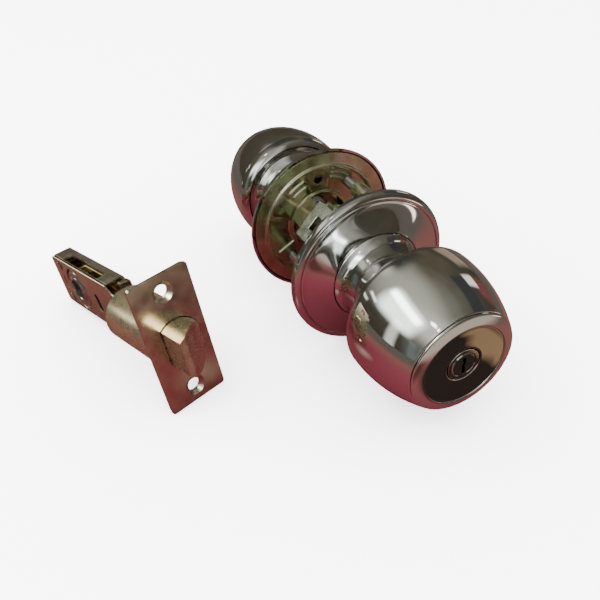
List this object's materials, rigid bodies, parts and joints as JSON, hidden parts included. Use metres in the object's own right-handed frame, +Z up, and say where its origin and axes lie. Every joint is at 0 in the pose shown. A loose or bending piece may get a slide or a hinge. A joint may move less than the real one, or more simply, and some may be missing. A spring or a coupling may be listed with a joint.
{
  "type": "door knob latch",
  "caption": "Round door knob lockset with keyed and turn-button knobs, roses and retractor chassis, beside its tubular spring latch with faceplate and bevelled bolt.",
  "frame": {"origin": "centre of the bounding box's underside, on the table that the rose rims and the latch rest on", "axes": "+X along the spindle axis towards the keyed knob, +Z up, +Y from the latch towards the knob set"},
  "size_m": [0.1742, 0.1506, 0.068],
  "materials": {
    "near_rose": "mirror polished steel",
    "near_liner": "yellow zinc plated steel",
    "near_bracket": "yellow zinc plated steel",
    "near_knob_shell": "mirror polished steel",
    "near_knob_cap": "mirror polished steel",
    "near_knob_neck": "mirror polished steel",
    "near_knob_catch": "plain steel",
    "near_spindle": "zinc casting",
    "key_cylinder": "satin",
    "key_plug": "satin",
    "tailpiece": "plain steel",
    "far_rose": "mirror polished steel",
    "far_liner": "yellow zinc plated steel",
    "far_bracket": "yellow zinc plated steel",
    "far_knob_shell": "mirror polished steel",
    "far_knob_cap": "mirror polished steel",
    "far_knob_neck": "mirror polished steel",
    "far_knob_catch": "plain steel",
    "far_spindle": "zinc casting",
    "button_sleeve": "zinc casting",
    "turn_button": "mirror polished steel",
    "button_stem": "plain steel",
    "retractor_case": "yellow zinc plated steel",
    "retractor": "zinc casting",
    "retractor_spring_left": "spring steel",
    "retractor_spring_right": "spring steel",
    "mounting_screw_upper": "plated steel",
    "mounting_screw_lower": "plated steel",
    "screw_post_upper": "yellow zinc plated steel",
    "screw_post_lower": "yellow zinc plated steel",
    "faceplate": "satin zinc plated steel",
    "backplate": "satin zinc plated steel",
    "latch_bolt": "satin zinc plated steel",
    "latch_bar": "yellow zinc plated steel",
    "latch_tube": "satin zinc plated steel",
    "bar_guide": "yellow zinc plated steel",
    "bolt_spring": "spring steel",
    "latch_case": "satin zinc plated steel",
    "latch_case_cover": "satin zinc plated steel",
    "case_rivet_1": "plated steel",
    "case_rivet_2": "plated steel",
    "case_rivet_3": "plated steel",
    "cam_hub": "zinc casting"
  },
  "bodies": {
    "lockset": {"near_rose": "near_rose", "near_liner": "near_liner", "near_bracket": "near_bracket", "far_rose": "far_rose", "far_liner": "far_liner", "far_bracket": "far_bracket", "retractor_case": "retractor_case", "retractor_spring_left": "retractor_spring_left", "retractor_spring_right": "retractor_spring_right", "mounting_screw_upper": "mounting_screw_upper", "mounting_screw_lower": "mounting_screw_lower", "screw_post_upper": "screw_post_upper", "screw_post_lower": "screw_post_lower", "faceplate": "faceplate", "backplate": "backplate", "latch_tube": "latch_tube", "bar_guide": "bar_guide", "bolt_spring": "bolt_spring", "latch_case": "latch_case", "latch_case_cover": "latch_case_cover", "case_rivet_1": "case_rivet_1", "case_rivet_2": "case_rivet_2", "case_rivet_3": "case_rivet_3"},
    "near_knob": {"near_knob_shell": "near_knob_shell", "near_knob_cap": "near_knob_cap", "near_knob_neck": "near_knob_neck", "near_knob_catch": "near_knob_catch", "near_spindle": "near_spindle", "key_cylinder": "key_cylinder"},
    "key": {"key_plug": "key_plug", "tailpiece": "tailpiece"},
    "far_knob": {"far_knob_shell": "far_knob_shell", "far_knob_cap": "far_knob_cap", "far_knob_neck": "far_knob_neck", "far_knob_catch": "far_knob_catch", "far_spindle": "far_spindle", "button_sleeve": "button_sleeve"},
    "button": {"turn_button": "turn_button", "button_stem": "button_stem"},
    "retractor_slide": {"retractor": "retractor"},
    "hub": {"cam_hub": "cam_hub"},
    "bolt": {"latch_bolt": "latch_bolt", "latch_bar": "latch_bar"}
  },
  "joints": [
    {"name": "near_knob_turn", "type": "hinge", "parent": "lockset", "child": "near_knob", "pos_m": [0.042, 0.04127, 0.034], "axis": [1, 0, 0], "range_deg": [-60, 60], "stiffness_Nm_per_rad": 0.05},
    {"name": "key_turn", "type": "hinge", "parent": "near_knob", "child": "key", "pos_m": [0.072, 0.04127, 0.034], "axis": [1, 0, 0], "range_deg": [-90, 90]},
    {"name": "far_knob_turn", "type": "hinge", "parent": "lockset", "child": "far_knob", "pos_m": [-0.0385, 0.04127, 0.034], "axis": [1, 0, 0], "range_deg": [-60, 60], "stiffness_Nm_per_rad": 0.05},
    {"name": "button_turn", "type": "hinge", "parent": "far_knob", "child": "button", "pos_m": [-0.0805, 0.04127, 0.034], "axis": [-1, 0, 0], "range_deg": [0, 90]},
    {"name": "retractor_pull", "type": "slide", "parent": "lockset", "child": "retractor_slide", "axis": [0, 0.7071, -0.7071], "range_m": [0, 0.008], "stiffness_N_per_m": 300, "deforming": ["retractor_spring_left", "retractor_spring_right"]},
    {"name": "latch_hub_turn", "type": "hinge", "parent": "lockset", "child": "hub", "pos_m": [-0.05307, -0.06423, 0.01558], "axis": [0.3246, -0.9459, 0], "range_deg": [0, 75]},
    {"name": "latch_bolt_slide", "type": "slide", "parent": "lockset", "child": "bolt", "axis": [-0.9333, -0.3203, -0.1622], "range_m": [0, 0.0125], "stiffness_N_per_m": 150, "deforming": ["bolt_spring"]}
  ],
  "couplings": [
    {"joint": "latch_hub_turn", "follows": "latch_bolt_slide", "rad_per_m": 104.71}
  ]
}
